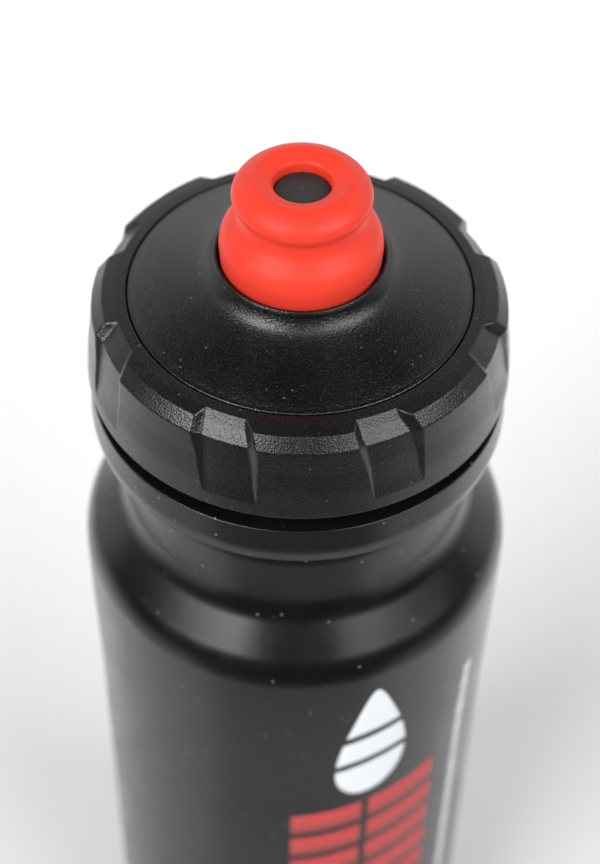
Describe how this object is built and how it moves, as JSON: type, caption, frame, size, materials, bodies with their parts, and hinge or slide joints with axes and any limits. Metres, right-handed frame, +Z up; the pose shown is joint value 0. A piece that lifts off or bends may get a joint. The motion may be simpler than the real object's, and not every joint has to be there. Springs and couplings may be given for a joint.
{
  "type": "sports squeeze bottle",
  "caption": "Squeezable cycling bottle with a straight round body, a waist under a screw cap with a notched grip ring, and a soft push-pull drinking nozzle.",
  "frame": {"origin": "centre of the base, on the plane that the bottle stands on", "axes": "+Z up along the bottle's axis towards the nozzle; a solid land of the grip ring, between two notches, faces -Y"},
  "size_m": [0.0746, 0.0746, 0.2429],
  "materials": {
    "bottle_plastic": "satin, finely grained, slightly translucent soft polyethylene",
    "cap_plastic": "satin moulded polypropylene",
    "grip_plastic": "fine moulded grain",
    "gasket_rubber": "smooth soft silicone",
    "plug_plastic": "satin moulded polypropylene",
    "seal_rubber": "smooth soft rubber",
    "sleeve_plastic": "satin moulded polypropylene",
    "bite_rubber": "satin soft elastomer"
  },
  "bodies": {
    "bottle": {"bottle_body": "bottle_plastic"},
    "seal": {"cap_gasket": "gasket_rubber"},
    "cap": {"cap_core": "cap_plastic", "grip_ring": "grip_plastic", "spout_plug": "plug_plastic", "spout_seal": "seal_rubber"},
    "nozzle": {"nozzle_sleeve": "sleeve_plastic", "nozzle_bite": "bite_rubber"}
  },
  "joints": [
    {"name": "cap_lift", "type": "slide", "parent": "bottle", "child": "seal", "axis": [0, 0, 1], "range_m": [0, 0.0063]},
    {"name": "cap_turn", "type": "hinge", "parent": "seal", "child": "cap", "pos_m": [0, 0, 0.2], "axis": [0, 0, 1], "range_deg": [0, 450]},
    {"name": "nozzle_pull", "type": "slide", "parent": "cap", "child": "nozzle", "axis": [0, 0, 1], "range_m": [0, 0.0065]}
  ],
  "couplings": [
    {"joint": "cap_lift", "follows": "cap_turn", "m_per_rad": 0.00079577}
  ]
}
